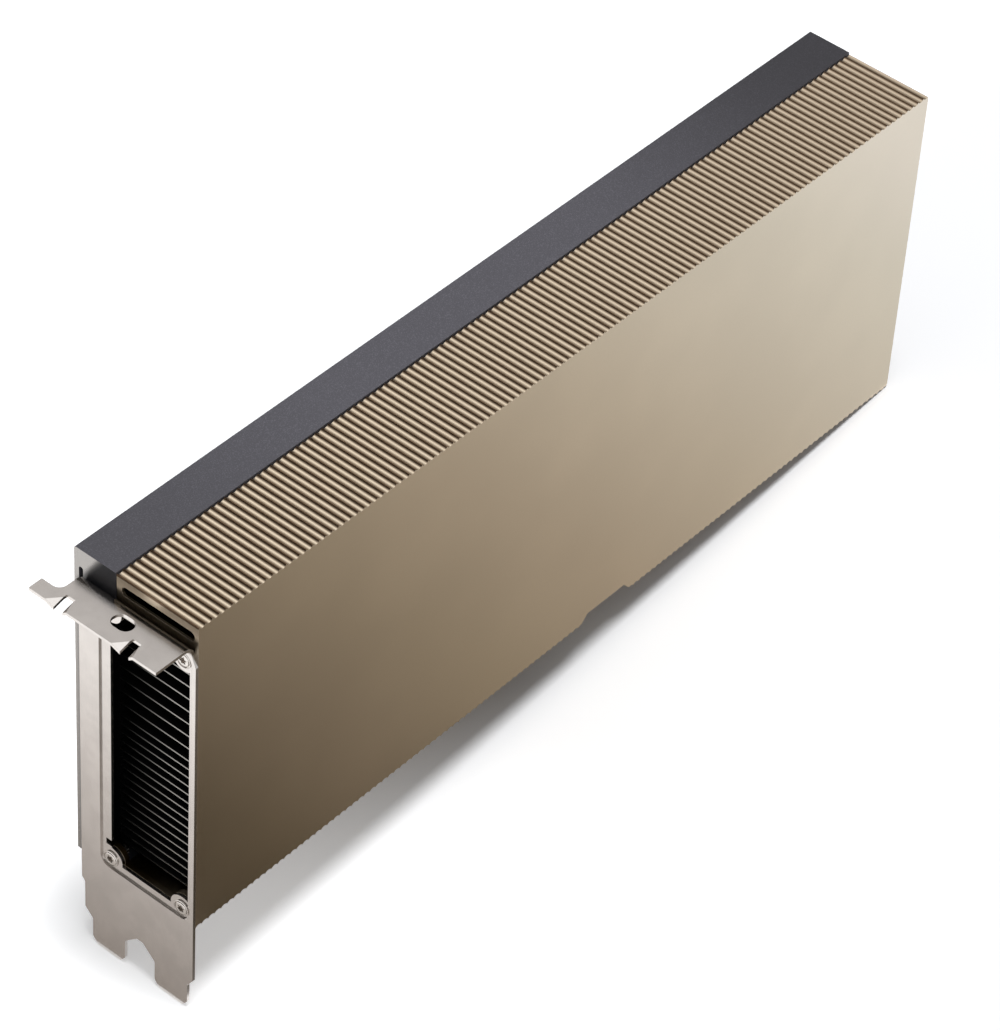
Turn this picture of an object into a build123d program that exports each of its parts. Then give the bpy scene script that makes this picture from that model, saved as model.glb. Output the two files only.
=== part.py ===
from build123d import *
import os

# Passive accelerator card: a dual-slot plug-in board with a fluted metal casing and no fan.
# Air is pushed through it from the far end to the vent in the bracket, along horizontal fins.
# Frame, in millimetres: x = 0 on the bracket's outer face and +X towards the far end, y = 0 at the
# middle of the card's thickness and +Y towards the back, z = 0 on the casing's bottom edge, +Z up.

# Overall sizes
card_length = 267.7
body_height = 97.4
body_thickness = 38.15
slot_pitch = 20.32
seat_gap = 0.1
# How far a cutting shape runs past the face that it opens
cut_past = 1.0

# Bracket: one folded sheet
sheet = 0.86
bracket_height = 120.02
flange_drop = 5.8
flange_reach = 11.43
bend_radius = 3.06
flange_right = 1.2
flange_left = 34.6
plate_left = 36.1
plate_left_low = 35.1
plate_jog_rise = 9.8
plate_jog_drop = 1.2
hook_left = 40.2
relief_height = 3.2
screw_slot_x = 5.06
screw_slot_width = 4.42
screw_slot_length = 6.0
screw_slot_depth = 17.3
guide_notch_width = 2.7
guide_notch_reach = 4.2
guide_notch_depth = 10.82
guide_drop = 0.9
guide_wide = 2.6
guide_narrow = 1.2
guide_fold_share = 0.75
tongue_depth = 6.98
tongue_width = 10.6
tongue_tip_width = 7.5
tongue_tip_slope = 2.1
tongue_length = 8.12
tongue_shoulder_rise = 2.5
tongue_web_rise = 3.7
tongue_web_width = 1.9
tongue_corner = 0.8

# Vent in the bracket: a window with four screw ears, in a shallow embossed recess
vent_right = 2.2
vent_left = 26.7
vent_bottom_z = 3.85
vent_top_drop = 11.5
recess_right = 1.2
recess_left = 29.9
recess_bottom_z = 1.4
recess_top_drop = 9.2
recess_corner = 3.0
emboss = 0.5
emboss_spread = 0.35
ear_radius = 3.6
ear_relief_width = 1.7
ear_relief_height = 1.9
bracket_screw_right = 4.0
bracket_screw_left = 26.8
bracket_screw_low_z = 4.5
bracket_screw_drop = 12.0

# Casing: front shell with flutes across its top and bottom walls
shroud_depth = 25.0
front_wall = 1.5
fluted_wall = 1.8
flute_count = 123
flute_depth = 0.6
end_wall = 2.0
end_corner = 1.2
latch_notch_start = 139.5
latch_notch_length = 19.7
latch_notch_height = 2.85
latch_notch_slope = 2.7
end_slot_length = 22.2
end_slot_height = 2.7
end_slot_depth = 12.3
end_slot_drop = 3.95
end_slot_wall = 0.8
end_slot_rim = 1.0
far_window_right = 3.0
far_window_bottom_z = 6.0
far_window_top_drop = 4.2
extender_spacing_y = 17.0
extender_spacing_z = 88.0
extender_hole_radius = 1.25
extender_boss = 5.2
post_radius = 2.9
post_drop = 5.1

# Back cover: dark folded plate that closes the rear and the rear strip of the top
cover_wall = 1.0
seam_gap = 0.3
cover_corner = 0.6
end_notch_from_back = 2.1
end_notch_width = 1.3
end_notch_drop = 5.2
end_notch_length = 9.0
film_thickness = 0.25
film_margin = 3.0
film_top_margin = 1.5

# Circuit board and its edge tab
board_from_back = 3.36
board_thickness = 1.57
board_inset = 1.3
board_bottom_gap = 0.3
board_top_gap = 0.5
tab_bottom_z = -9.4
key_x = 59.05
key_width = 1.9
key_root = 1.0
key_contact_gap = 1.5
short_edge_length = 11.65
long_edge_length = 71.65
tab_bevel = 0.8
contact_pitch = 1.0
contact_width = 0.7
contact_length = 4.6
contact_skin = 0.06
contact_edge_gap = 0.9
short_contacts = 11
long_contacts = 71
hook_gap = 2.9
hook_width = 6.2
hook_drop = 7.6
hook_neck = 2.6
hook_neck_height = 3.1
hook_slant = 1.0
tab_clearance = 1.0

# Four processors in a row, each with its memory and its supply
processor_count = 4
processor_near_gap = 33.0
carrier_size = 28.0
carrier_height = 1.2
die_size = 14.2
die_height = 0.8
compound = 0.1
memory_x = 13.0
memory_z = 12.0
memory_height = 1.2
memory_gap = 1.2
supply_far_gap = 16.0
base_screw_near_gap = 5.0
base_screw_offset_z = 25.0
choke_size = 8.0
choke_height = 4.0
choke_pitch = 10.4
choke_count = 4
stage_x = 5.0
stage_z = 6.0
stage_height = 0.8
stage_gap = 1.6
filter_x = 4.3
filter_z = 7.3
filter_height = 1.9
filter_offset_z = 35.0
bridge_z = 11.0
bridge_size = 18.0
bridge_height = 2.0
can_radius = 4.0
can_height = 9.5
can_count = 3
can_pitch = 15.0
can_from_far_end = 10.2
can_first_z = 22.0

# Heat sink: base plate with flat fins bonded into its grooves
base_thickness = 3.2
base_gap = 2.79
base_bottom_z = 3.0
base_top_drop = 9.2
pedestal_size = 18.0
pocket_depth = 2.0
pocket_width = 18.0
boss_radius = 3.0
fin_thickness = 0.4
fin_groove = 0.4
fin_front_gap = 0.6
heatsink_near_gap = 5.0
heatsink_far_gap = 16.84
low_fin_z = 5.0
fin_top_gap = 2.0
low_fin_share = 0.5135
low_fin_count = 16
high_fin_count = 10

# Power inlet at the far end: two rows of four contacts
inlet_length = 13.4
inlet_depth = 10.0
inlet_width = 18.8
inlet_drop = 14.0
inlet_setback = 1.1
inlet_pitch = 4.2
inlet_cavity = 3.4
inlet_cavity_depth = 10.4
inlet_pin = 1.07
inlet_pin_length = 9.0
inlet_latch_width = 6.4
inlet_latch_height = 1.2
inlet_latch_length = 3.0

# Fasteners
bracket_head_radius = 2.3
bracket_head_height = 0.5
bracket_head_bevel = 0.25
bracket_shank_radius = 1.45
bracket_screw_length = 5.0
cover_head_radius = 2.3
cover_shank_radius = 1.25
cover_screw_reach = 8.0
drive_radius = 1.1
drive_depth = 0.55
hole_clearance = 0.15
thread_clearance = 0.03

# Places that follow from the sizes above
near_x = sheet
front_y = -body_thickness / 2
back_y = body_thickness / 2
seam_y = front_y + shroud_depth
flute_pitch = (card_length - near_x) / flute_count
cavity_bottom_z = fluted_wall
cavity_top_z = body_height - fluted_wall
flange_top_z = body_height - flange_drop
bend_x = sheet - bend_radius
bend_z = flange_top_z - bend_radius
tongue_tip_z = flange_top_z - bracket_height
tongue_root_z = tongue_tip_z + tongue_length
tongue_shoulder_z = tongue_root_z + tongue_shoulder_rise
plate_jog_z = tongue_shoulder_z + plate_jog_rise
vent_top_z = body_height - vent_top_drop
recess_top_z = body_height - recess_top_drop
bracket_screw_high_z = body_height - bracket_screw_drop
post_z = body_height - post_drop
board_y = back_y - board_from_back
board_back_y = board_y + board_thickness
board_top_z = body_height - cover_wall - board_top_gap
board_bottom_z = cover_wall + board_bottom_gap
base_plane_y = board_y - base_gap
base_top_z = body_height - base_top_drop
fin_seat_y = base_plane_y - base_thickness
fin_span = base_top_z - fin_top_gap - low_fin_z
low_fin_pitch = fin_span * low_fin_share / (low_fin_count - 1)
high_fin_pitch = fin_span * (1 - low_fin_share) / high_fin_count
low_fin_zs = [low_fin_z + i * low_fin_pitch for i in range(low_fin_count)]
high_fin_zs = [low_fin_zs[-1] + (i + 1) * high_fin_pitch for i in range(high_fin_count)]
heatsink_near_x = near_x + heatsink_near_gap
heatsink_far_x = card_length - heatsink_far_gap
cover_inner_y = back_y - cover_wall
inlet_far_x = card_length - inlet_setback
inlet_z = body_height - inlet_drop
tab_near_x = near_x + key_x - key_width / 2 - short_edge_length
tab_far_x = near_x + key_x + key_width / 2 + long_edge_length
hook_near_x = tab_far_x + hook_gap
# The row of processors, each with its supply halfway to the next one, fills the heat sink's length.
processor_near_x = heatsink_near_x + processor_near_gap
supply_far_x = heatsink_far_x - supply_far_gap
processor_pitch = (supply_far_x - processor_near_x) / (processor_count - 0.5)
processor_xs = [processor_near_x + i * processor_pitch for i in range(processor_count)]
supply_xs = [x + processor_pitch / 2 for x in processor_xs]
bridge_x = processor_xs[processor_count // 2 - 1]
# The processors lie midway between the bridge chip and the casing's posts.
processor_z = (bridge_z + bridge_size / 2 + post_z - post_radius) / 2


def depth(value):
    """The y of a place that lies this far behind the card's front face."""
    return front_y + value


def block(x, y, z):
    """A box given by its low and high value along each axis."""
    centre = [sum(pair) / 2 for pair in (x, y, z)]
    return Pos(*centre) * Box(*[high - low for low, high in (x, y, z)])


def slab(face, x, thickness):
    """A (y, z) outline made into a plate that starts at x and grows towards +X."""
    return extrude(Plane.YZ.offset(x) * face, thickness)


def side_slab(face, y, thickness):
    """An (x, z) outline made into a plate that starts at y and grows towards -Y."""
    return extrude(Plane.XZ.offset(-y) * face, thickness)


def rod_x(radius, x, y, z, length):
    """A cylinder along X that starts at x."""
    return Pos(x + length / 2, y, z) * Rot(0, 90, 0) * Cylinder(radius, length)


def rod_y(radius, x, y, z, length):
    """A cylinder along Y that starts at y."""
    return Pos(x, y + length / 2, z) * Rot(90, 0, 0) * Cylinder(radius, length)


def rectangle(low_a, high_a, low_b, high_b):
    """A flat rectangle from its two corners."""
    return Pos((low_a + high_a) / 2, (low_b + high_b) / 2) * Rectangle(high_a - low_a, high_b - low_b)


def opening_x(face, low, high):
    """A (y, z) outline made into a cutting shape along X that runs past both faces."""
    return slab(face, low - cut_past, high - low + 2 * cut_past)


def hole_x(radius, y, z, low, high):
    """A cutting rod along X that runs past both faces."""
    return rod_x(radius, low - cut_past, y, z, high - low + 2 * cut_past)


def hole_y(radius, x, z, low, high):
    """A cutting rod along Y that runs past both faces."""
    return rod_y(radius, x, low - cut_past, z, high - low + 2 * cut_past)


def bracket_screw_places():
    """Centres (y, z) of the four screws that hold the bracket to the casing."""
    return [(depth(d), z) for d in (bracket_screw_right, bracket_screw_left)
            for z in (bracket_screw_low_z, bracket_screw_high_z)]


def base_screw_places():
    """Centres (x, z) of the screws from the back cover through the board into the heat sink."""
    xs = [heatsink_near_x + base_screw_near_gap] + supply_xs
    return [(x, processor_z + side * base_screw_offset_z) for x in xs for side in (-1, 1)]


def post_places():
    """Centres (x, z) of the casing's screw posts, in the channel above the top fin."""
    return [(x, post_z) for x in processor_xs]


def vent_outline():
    """Window of the bracket with its ears left standing and a small relief beside each left ear."""
    window = rectangle(depth(vent_right), depth(vent_left), vent_bottom_z, vent_top_z)
    for z, up in ((bracket_screw_low_z, 1), (bracket_screw_high_z, -1)):
        relief_z = z + up * (ear_radius + (ear_relief_height + sheet) / 2)
        window += Pos(depth(vent_left), relief_z) * Rectangle(2 * ear_relief_width, ear_relief_height)
    for y, z in bracket_screw_places():
        window -= Pos(y, z) * Circle(ear_radius)
    return window


def recess_outline(grow=0.0):
    """Rounded outline of the embossed recess round the vent; grow widens it on every side."""
    centre = Pos(depth((recess_right + recess_left) / 2), (recess_bottom_z + recess_top_z) / 2)
    width = recess_left - recess_right + 2 * grow
    height = recess_top_z - recess_bottom_z + 2 * grow
    return centre * RectangleRounded(width, height, recess_corner + grow)


def plate_outline():
    """Bracket's flat plate seen along X: shoulders at the top, and two tongues at the bottom."""
    tongue_right, tongue_left = depth(tongue_depth), depth(tongue_depth + slot_pitch)
    half, tip = tongue_width / 2, tongue_tip_width / 2
    side_z = tongue_tip_z + tongue_tip_slope
    web, web_z = (tongue_right + tongue_left) / 2, tongue_root_z + tongue_web_rise
    points = [
        (depth(0), tongue_shoulder_z), (tongue_right - half, tongue_root_z),
        (tongue_right - half, side_z), (tongue_right - tip, tongue_tip_z),
        (tongue_right + tip, tongue_tip_z), (tongue_right + half, side_z),
        (tongue_right + half, tongue_root_z), (web - tongue_web_width / 2, web_z),
        (web + tongue_web_width / 2, web_z), (tongue_left - half, tongue_root_z),
        (tongue_left - half, side_z), (tongue_left - tip, tongue_tip_z),
        (tongue_left + tip, tongue_tip_z), (tongue_left + half, side_z),
        (tongue_left + half, tongue_root_z), (depth(plate_left_low), tongue_shoulder_z),
        (depth(plate_left_low), plate_jog_z - plate_jog_drop), (depth(plate_left), plate_jog_z),
        (depth(plate_left), bend_z - relief_height), (depth(flange_left), bend_z),
        (depth(flange_right), bend_z), (depth(0), bend_z - relief_height),
    ]
    plate = make_face(Polyline(*points, close=True))
    rounded = [v for v in plate.vertices()
               if v.Y < tongue_root_z + tongue_corner or abs(v.Y - web_z) < tongue_corner]
    return fillet(rounded, tongue_corner)


def flange_outline():
    """Bracket's flange seen from above, from its outer edge to the start of the bend."""
    outer_x, inner_x = -flange_reach, bend_x
    hook_x = -screw_slot_x - screw_slot_width / 2
    flange = rectangle(outer_x, inner_x, depth(flange_right), depth(flange_left))
    flange += rectangle(outer_x, hook_x, depth(flange_left), depth(hook_left))
    # The left slot is open on its side, so only its round end bites into the sheet.
    slot = SlotOverall(screw_slot_length, screw_slot_width, rotation=90)
    for pitch in (0, slot_pitch):
        flange -= Pos(-screw_slot_x, depth(screw_slot_depth + pitch)) * slot
    # The fillet between the hook and the flange is what the slot's round end leaves.
    corner = Pos(hook_x, depth(flange_left)) * Rectangle(screw_slot_width, screw_slot_width)
    flange += corner & rectangle(hook_x, 0, depth(flange_left), depth(hook_left)) - (
        Pos(-screw_slot_x, depth(screw_slot_depth + slot_pitch)) * slot)
    for pitch in (0, slot_pitch):
        centre = depth(guide_notch_depth + pitch)
        flange -= rectangle(outer_x - cut_past, outer_x + guide_notch_reach,
                            centre - guide_notch_width / 2, centre + guide_notch_width / 2)
    return flange


def guide_corners():
    """For each side of the two guide notches: its corner, and the ends of the fold line there."""
    corners = []
    for pitch in (0, slot_pitch):
        for side, width in ((1, guide_wide), (-1, guide_narrow)):
            y = depth(guide_notch_depth + pitch) + side * guide_notch_width / 2
            corners.append(((-flange_reach, y), (-flange_reach, y + side * width),
                            (-flange_reach + guide_notch_reach * guide_fold_share, y)))
    return corners


def io_bracket():
    """Slotted plate, rounded bend, flange with turned-down guide corners, and embossed vent."""
    plate = slab(plate_outline(), 0, sheet)
    plate -= slab(recess_outline(), 0, emboss)
    plate += slab(recess_outline(emboss_spread), sheet, emboss)
    plate -= opening_x(vent_outline(), 0, sheet + emboss)
    for y, z in bracket_screw_places():
        plate -= hole_x(bracket_shank_radius + hole_clearance, y, z, 0, sheet + emboss)
    quarter = Pos(bend_x, bend_z) * (Circle(bend_radius) - Circle(bend_radius - sheet))
    quarter &= rectangle(bend_x, sheet, bend_z, flange_top_z)
    bend = side_slab(quarter, depth(flange_left), flange_left - flange_right)
    flange = extrude(Plane.XY.offset(flange_top_z - sheet) * flange_outline(), sheet)
    for corner, side, fold in guide_corners():
        flat = make_face(Polyline(corner, side, fold, close=True))
        flange -= extrude(Plane.XY.offset(flange_top_z - sheet) * flat, sheet)
        top = Polyline((*corner, flange_top_z - guide_drop), (*side, flange_top_z),
                       (*fold, flange_top_z), close=True)
        flange += extrude(make_face(top), sheet, dir=(0, 0, -1))
    return plate + bend + flange


def fluted_outline():
    """Casing seen from the side: a row of round flutes along its bottom and its top edge."""
    edges = [Line((x, 0), (x, body_height)) for x in (near_x, card_length)]
    for edge_z, floor_z in ((0, flute_depth), (body_height, body_height - flute_depth)):
        for i in range(flute_count):
            start = near_x + i * flute_pitch
            middle, end = start + flute_pitch / 2, start + flute_pitch
            edges.append(ThreePointArc((start, edge_z), (middle, floor_z), (end, edge_z)))
    rounded = rectangle(near_x - end_corner, card_length, 0, body_height)
    rounded = fillet(rounded.vertices().group_by(Axis.X)[-1], end_corner)
    return make_face(edges) & rounded


def latch_notch(grow=0.0):
    """Notch in the bottom edge that clears the latch of the neighbouring socket."""
    start = near_x + latch_notch_start - grow
    end = near_x + latch_notch_start + latch_notch_length + grow
    top = latch_notch_height + grow
    points = [(start, -cut_past), (start, 0), (start + latch_notch_slope, top),
              (end - latch_notch_slope, top), (end, 0), (end, -cut_past)]
    return make_face(Polyline(*points, close=True))


def shroud():
    """Front shell: thin walls, open towards the board, with a vent at each end."""
    shell = side_slab(fluted_outline(), seam_y, shroud_depth)
    cavity = block((near_x + end_wall, card_length - end_wall), (front_y + front_wall, seam_y + cut_past),
                   (cavity_bottom_z, cavity_top_z))
    cavity -= side_slab(latch_notch(fluted_wall), seam_y + cut_past, shroud_depth + cut_past)
    shell -= cavity
    shell -= side_slab(latch_notch(), seam_y + cut_past, shroud_depth + 2 * cut_past)
    # Lugs behind the two bracket screws that lie past the shell's rim.
    lug_ys = (seam_y - end_wall, depth(recess_left))
    lugs = slab(recess_outline(emboss_spread), near_x, end_wall)
    lugs &= block((near_x, near_x + end_wall), lug_ys, (0, body_height))
    lugs -= block((near_x, near_x + end_wall), lug_ys,
                  (bracket_screw_low_z + ear_radius, bracket_screw_high_z - ear_radius))
    shell += lugs
    shell -= slab(recess_outline(emboss_spread + seat_gap), near_x - cut_past, emboss + seat_gap + cut_past)
    shell -= opening_x(vent_outline(), near_x, near_x + end_wall)
    slot = SlotOverall(end_slot_length, end_slot_height)
    slot = Pos(depth(end_slot_depth), body_height - end_slot_drop) * slot
    shell -= opening_x(slot, near_x, near_x + end_wall)
    # The wall is thin round the slot, so the air turns into it freely.
    slot_half, slot_z = end_slot_height / 2 + end_slot_rim, body_height - end_slot_drop
    shell -= block((near_x + end_slot_wall, near_x + end_wall),
                   (front_y + front_wall, depth(end_slot_depth + end_slot_length / 2 + end_slot_rim)),
                   (slot_z - slot_half, slot_z + slot_half))
    window = rectangle(depth(far_window_right), seam_y + cut_past,
                       far_window_bottom_z, body_height - far_window_top_drop)
    shell -= opening_x(window, card_length - end_wall, card_length)
    for y, z in bracket_screw_places():
        shell -= hole_x(bracket_shank_radius + thread_clearance, y, z, near_x, near_x + end_wall)
    return extender_bosses(screw_posts(shell))


def screw_posts(shell):
    """Adds the posts that take the cover's screws, each with a web up to the top wall."""
    for x, z in post_places():
        post = rod_y(post_radius, x, front_y + front_wall, z, board_y - front_y - front_wall)
        web = block((x - post_radius, x + post_radius), (front_y + front_wall, seam_y), (z, cavity_top_z))
        shell += post + web
        shell -= rod_y(cover_shank_radius + thread_clearance, x, board_y - cover_screw_reach, z,
                       cover_screw_reach)
    return shell


def extender_bosses(shell):
    """Adds the four bosses in the corners of the far end, each with its threaded hole."""
    near = card_length - end_wall - extender_boss
    half = extender_boss / 2
    for y in (depth((shroud_depth - extender_spacing_y) / 2), depth((shroud_depth + extender_spacing_y) / 2)):
        for z, wall_z, up in (((body_height - extender_spacing_z) / 2, cavity_bottom_z, 1),
                              ((body_height + extender_spacing_z) / 2, cavity_top_z, -1)):
            shell += block((near, card_length), (y - half, y + half), sorted((wall_z, z + up * half)))
            shell -= rod_x(extender_hole_radius, near, y, z, card_length - near)
    return shell


def back_cover():
    """Folded plate: back, rear strip of the top, and both ends of the board's space."""
    shell = block((near_x, card_length), (seam_y + seam_gap, back_y), (0, body_height))
    shell = fillet(shell.edges().filter_by(Axis.X).group_by(Axis.Z)[-1].group_by(Axis.Y)[-1], cover_corner)
    shell -= block((near_x + cover_wall, card_length - cover_wall), (seam_y, cover_inner_y),
                   (cover_wall, body_height - cover_wall))
    shell -= block((tab_near_x - tab_clearance, hook_near_x + hook_width + tab_clearance),
                   (seam_y, board_back_y + hole_clearance), (-cut_past, cover_wall + cut_past))
    shell -= opening_x(recess_outline(emboss_spread + seat_gap), near_x, near_x + cover_wall)
    notch = Pos(back_y - end_notch_from_back, body_height - end_notch_drop - end_notch_length / 2)
    notch *= SlotOverall(end_notch_length, end_notch_width, rotation=90)
    shell -= opening_x(notch, near_x, near_x + cover_wall)
    inlet_half = inlet_width / 2 + hole_clearance
    inlet = rectangle(seam_y, board_y + hole_clearance, inlet_z - inlet_half, inlet_z + inlet_half)
    shell -= opening_x(inlet, card_length - cover_wall, card_length)
    for x, z in base_screw_places() + post_places():
        shell += rod_y(boss_radius, x, board_back_y, z, cover_inner_y - board_back_y)
        shell -= hole_y(cover_shank_radius + hole_clearance, x, z, board_back_y, back_y)
        shell -= countersink(x, z, thread_clearance)
    return shell


def countersink(x, z, grow=0.0):
    """Cone under a flush screw head in the back cover."""
    cone = Cone(cover_shank_radius + grow, cover_head_radius + grow, cover_wall)
    return Pos(x, back_y - cover_wall / 2, z) * Rot(-90, 0, 0) * cone


def insulator_film():
    """Thin sheet that keeps the board's solder side off the metal cover."""
    film = block((near_x + film_margin, card_length - film_margin),
                 (cover_inner_y - film_thickness, cover_inner_y),
                 (film_margin, board_top_z - film_top_margin))
    for x, z in base_screw_places() + post_places():
        film -= hole_y(boss_radius + hole_clearance, x, z, cover_inner_y - film_thickness, cover_inner_y)
    return film


def circuit_board():
    """Board with a keyed edge tab, a latch hook beside it, and the screw holes."""
    low, far = board_bottom_z, card_length - board_inset
    near = near_x + board_inset
    key_low, key_high = near_x + key_x - key_width / 2, near_x + key_x + key_width / 2
    neck_x, neck_z = hook_near_x + hook_neck, low - hook_neck_height
    hook_far_x, hook_low_z = hook_near_x + hook_width, low - hook_drop
    points = [
        (near, low), (tab_near_x, low), (tab_near_x, tab_bottom_z + tab_bevel),
        (tab_near_x + tab_bevel, tab_bottom_z), (key_low - tab_bevel, tab_bottom_z),
        (key_low, tab_bottom_z + tab_bevel), (key_low, low - key_root), (key_high, low - key_root),
        (key_high, tab_bottom_z + tab_bevel), (key_high + tab_bevel, tab_bottom_z),
        (tab_far_x - tab_bevel, tab_bottom_z), (tab_far_x, tab_bottom_z + tab_bevel), (tab_far_x, low),
        (neck_x, low), (neck_x, neck_z), (hook_near_x, neck_z - hook_slant),
        (hook_near_x, hook_low_z + tab_bevel), (hook_near_x + tab_bevel, hook_low_z),
        (hook_far_x - tab_bevel, hook_low_z), (hook_far_x, hook_low_z + tab_bevel), (hook_far_x, low),
        (far, low), (far, board_top_z), (near, board_top_z),
    ]
    board = side_slab(make_face(Polyline(*points, close=True)), board_back_y, board_thickness)
    for x, z in base_screw_places() + post_places():
        board -= hole_y(cover_shank_radius + hole_clearance, x, z, board_y, board_back_y)
    return board


def edge_contacts():
    """Gold contacts on both faces of the edge tab."""
    half = contact_width / 2
    low = tab_bottom_z + contact_edge_gap
    middle = near_x + key_x
    xs = [middle - key_contact_gap - contact_pitch * i for i in range(short_contacts)]
    xs += [middle + key_contact_gap + contact_pitch * i for i in range(long_contacts)]
    faces = ((board_y - contact_skin, board_y), (board_back_y, board_back_y + contact_skin))
    return [block((x - half, x + half), span, (low, low + contact_length)) for x in xs for span in faces]


def on_board(x, z, size_x, size_z, height, foot=0.0):
    """A component that stands on the board's front face, or foot above it."""
    return block((x - size_x / 2, x + size_x / 2), (board_y - foot - height, board_y - foot),
                 (z - size_z / 2, z + size_z / 2))


def memory_places():
    """Centres (x, z) of the memory chips: two above and two below each processor."""
    rise = carrier_size / 2 + memory_gap + memory_z / 2
    side = (memory_x + memory_gap) / 2
    return [(x + side * across, processor_z + rise * up)
            for x in processor_xs for across in (-1, 1) for up in (-1, 1)]


def choke_places():
    """Centres (x, z) of the supply chokes: one column beside each processor."""
    first = processor_z - (choke_count - 1) * choke_pitch / 2
    return [(x + (stage_x + stage_gap) / 2, first + i * choke_pitch)
            for x in supply_xs for i in range(choke_count)]


def stage_places():
    """Centres (x, z) of the power stages, each beside its choke."""
    step = choke_size / 2 + stage_gap + stage_x / 2
    return [(x - step, z) for x, z in choke_places()]


def filter_places():
    """Centres (x, z) of the flat supply capacitors, two below each column of chokes."""
    return [(x + side * (filter_x + stage_gap) / 2, processor_z - filter_offset_z)
            for x in supply_xs for side in (-1, 1)]


def can_capacitors():
    """Round capacitors behind the power inlet."""
    x = card_length - can_from_far_end
    return [rod_y(can_radius, x, board_y - can_height, can_first_z + i * can_pitch, can_height)
            for i in range(can_count)]


def compound_pads():
    """Heat-conducting compound between each die and its pedestal."""
    return [on_board(x, processor_z, die_size, die_size, compound, carrier_height + die_height)
            for x in processor_xs]


def heatsink_base():
    """Plate with grooves for the fins, pedestals over the dies, pockets over the chokes, and bosses."""
    base = block((heatsink_near_x, heatsink_far_x), (fin_seat_y, base_plane_y), (base_bottom_z, base_top_z))
    pedestal_y = board_y - carrier_height - die_height - compound
    half = pedestal_size / 2
    column = (choke_count * choke_pitch + stage_gap) / 2
    for x in processor_xs:
        base += block((x - half, x + half), (base_plane_y, pedestal_y),
                      (processor_z - half, processor_z + half))
    for z in low_fin_zs + high_fin_zs:
        base -= block((heatsink_near_x, heatsink_far_x), (fin_seat_y, fin_seat_y + fin_groove),
                      (z, z + fin_thickness))
    for x in supply_xs:
        base -= block((x - pocket_width / 2, x + pocket_width / 2),
                      (base_plane_y - pocket_depth, base_plane_y + cut_past),
                      (processor_z - column, processor_z + column))
    for x, z in base_screw_places():
        base += rod_y(boss_radius, x, base_plane_y, z, base_gap)
        base -= hole_y(cover_shank_radius + thread_clearance, x, z, back_y - cover_screw_reach, board_y)
    return base


def fin(z):
    """One flat fin along X, with its rear edge in its groove of the base."""
    front = front_y + front_wall + fin_front_gap
    return block((heatsink_near_x, heatsink_far_x), (front, fin_seat_y + fin_groove), (z, z + fin_thickness))


def inlet_places():
    """Centres (y, z) of the inlet's contacts."""
    middle = board_y - inlet_depth / 2
    return [(middle + row * inlet_pitch, inlet_z + column * inlet_pitch)
            for row in (-0.5, 0.5) for column in (-1.5, -0.5, 0.5, 1.5)]


def power_inlet():
    """Plug housing on the board, open towards the far end, with a catch for the plug's latch."""
    near, front = inlet_far_x - inlet_length, board_y - inlet_depth
    half, catch_half, cavity_half = inlet_width / 2, inlet_latch_width / 2, inlet_cavity / 2
    housing = block((near, inlet_far_x), (front, board_y), (inlet_z - half, inlet_z + half))
    catch_x = inlet_far_x - inlet_latch_length
    housing += block((catch_x - inlet_latch_length, catch_x), (front - inlet_latch_height, front),
                     (inlet_z - catch_half, inlet_z + catch_half))
    for y, z in inlet_places():
        housing -= block((inlet_far_x - inlet_cavity_depth, inlet_far_x + cut_past),
                         (y - cavity_half, y + cavity_half), (z - cavity_half, z + cavity_half))
    return housing


def power_pins():
    """Square contact pins inside the inlet's cavities."""
    start = inlet_far_x - inlet_cavity_depth
    half = inlet_pin / 2
    return [block((start, start + inlet_pin_length), (y - half, y + half), (z - half, z + half))
            for y, z in inlet_places()]


def bracket_screws():
    """Low screws in the bracket's ears, with a bevelled head and a hexagonal drive."""
    screws = []
    for y, z in bracket_screw_places():
        head = rod_x(bracket_head_radius, emboss - bracket_head_height, y, z, bracket_head_height)
        head = chamfer(head.edges().group_by(Axis.X)[0], bracket_head_bevel)
        shank = rod_x(bracket_shank_radius, emboss, y, z, bracket_screw_length)
        drive = slab(Pos(y, z) * RegularPolygon(drive_radius, 6), emboss - bracket_head_height, drive_depth)
        screws.append(head + shank - drive)
    return screws


def cover_screw(x, z):
    """Flush screw of the back cover, with its head up to the cover's face."""
    screw = countersink(x, z)
    screw += rod_y(cover_shank_radius, x, back_y - cover_screw_reach, z, cover_screw_reach - cover_wall)
    drive = RegularPolygon(drive_radius, 6)
    return screw - side_slab(Pos(x, z) * drive, back_y, drive_depth)


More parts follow.
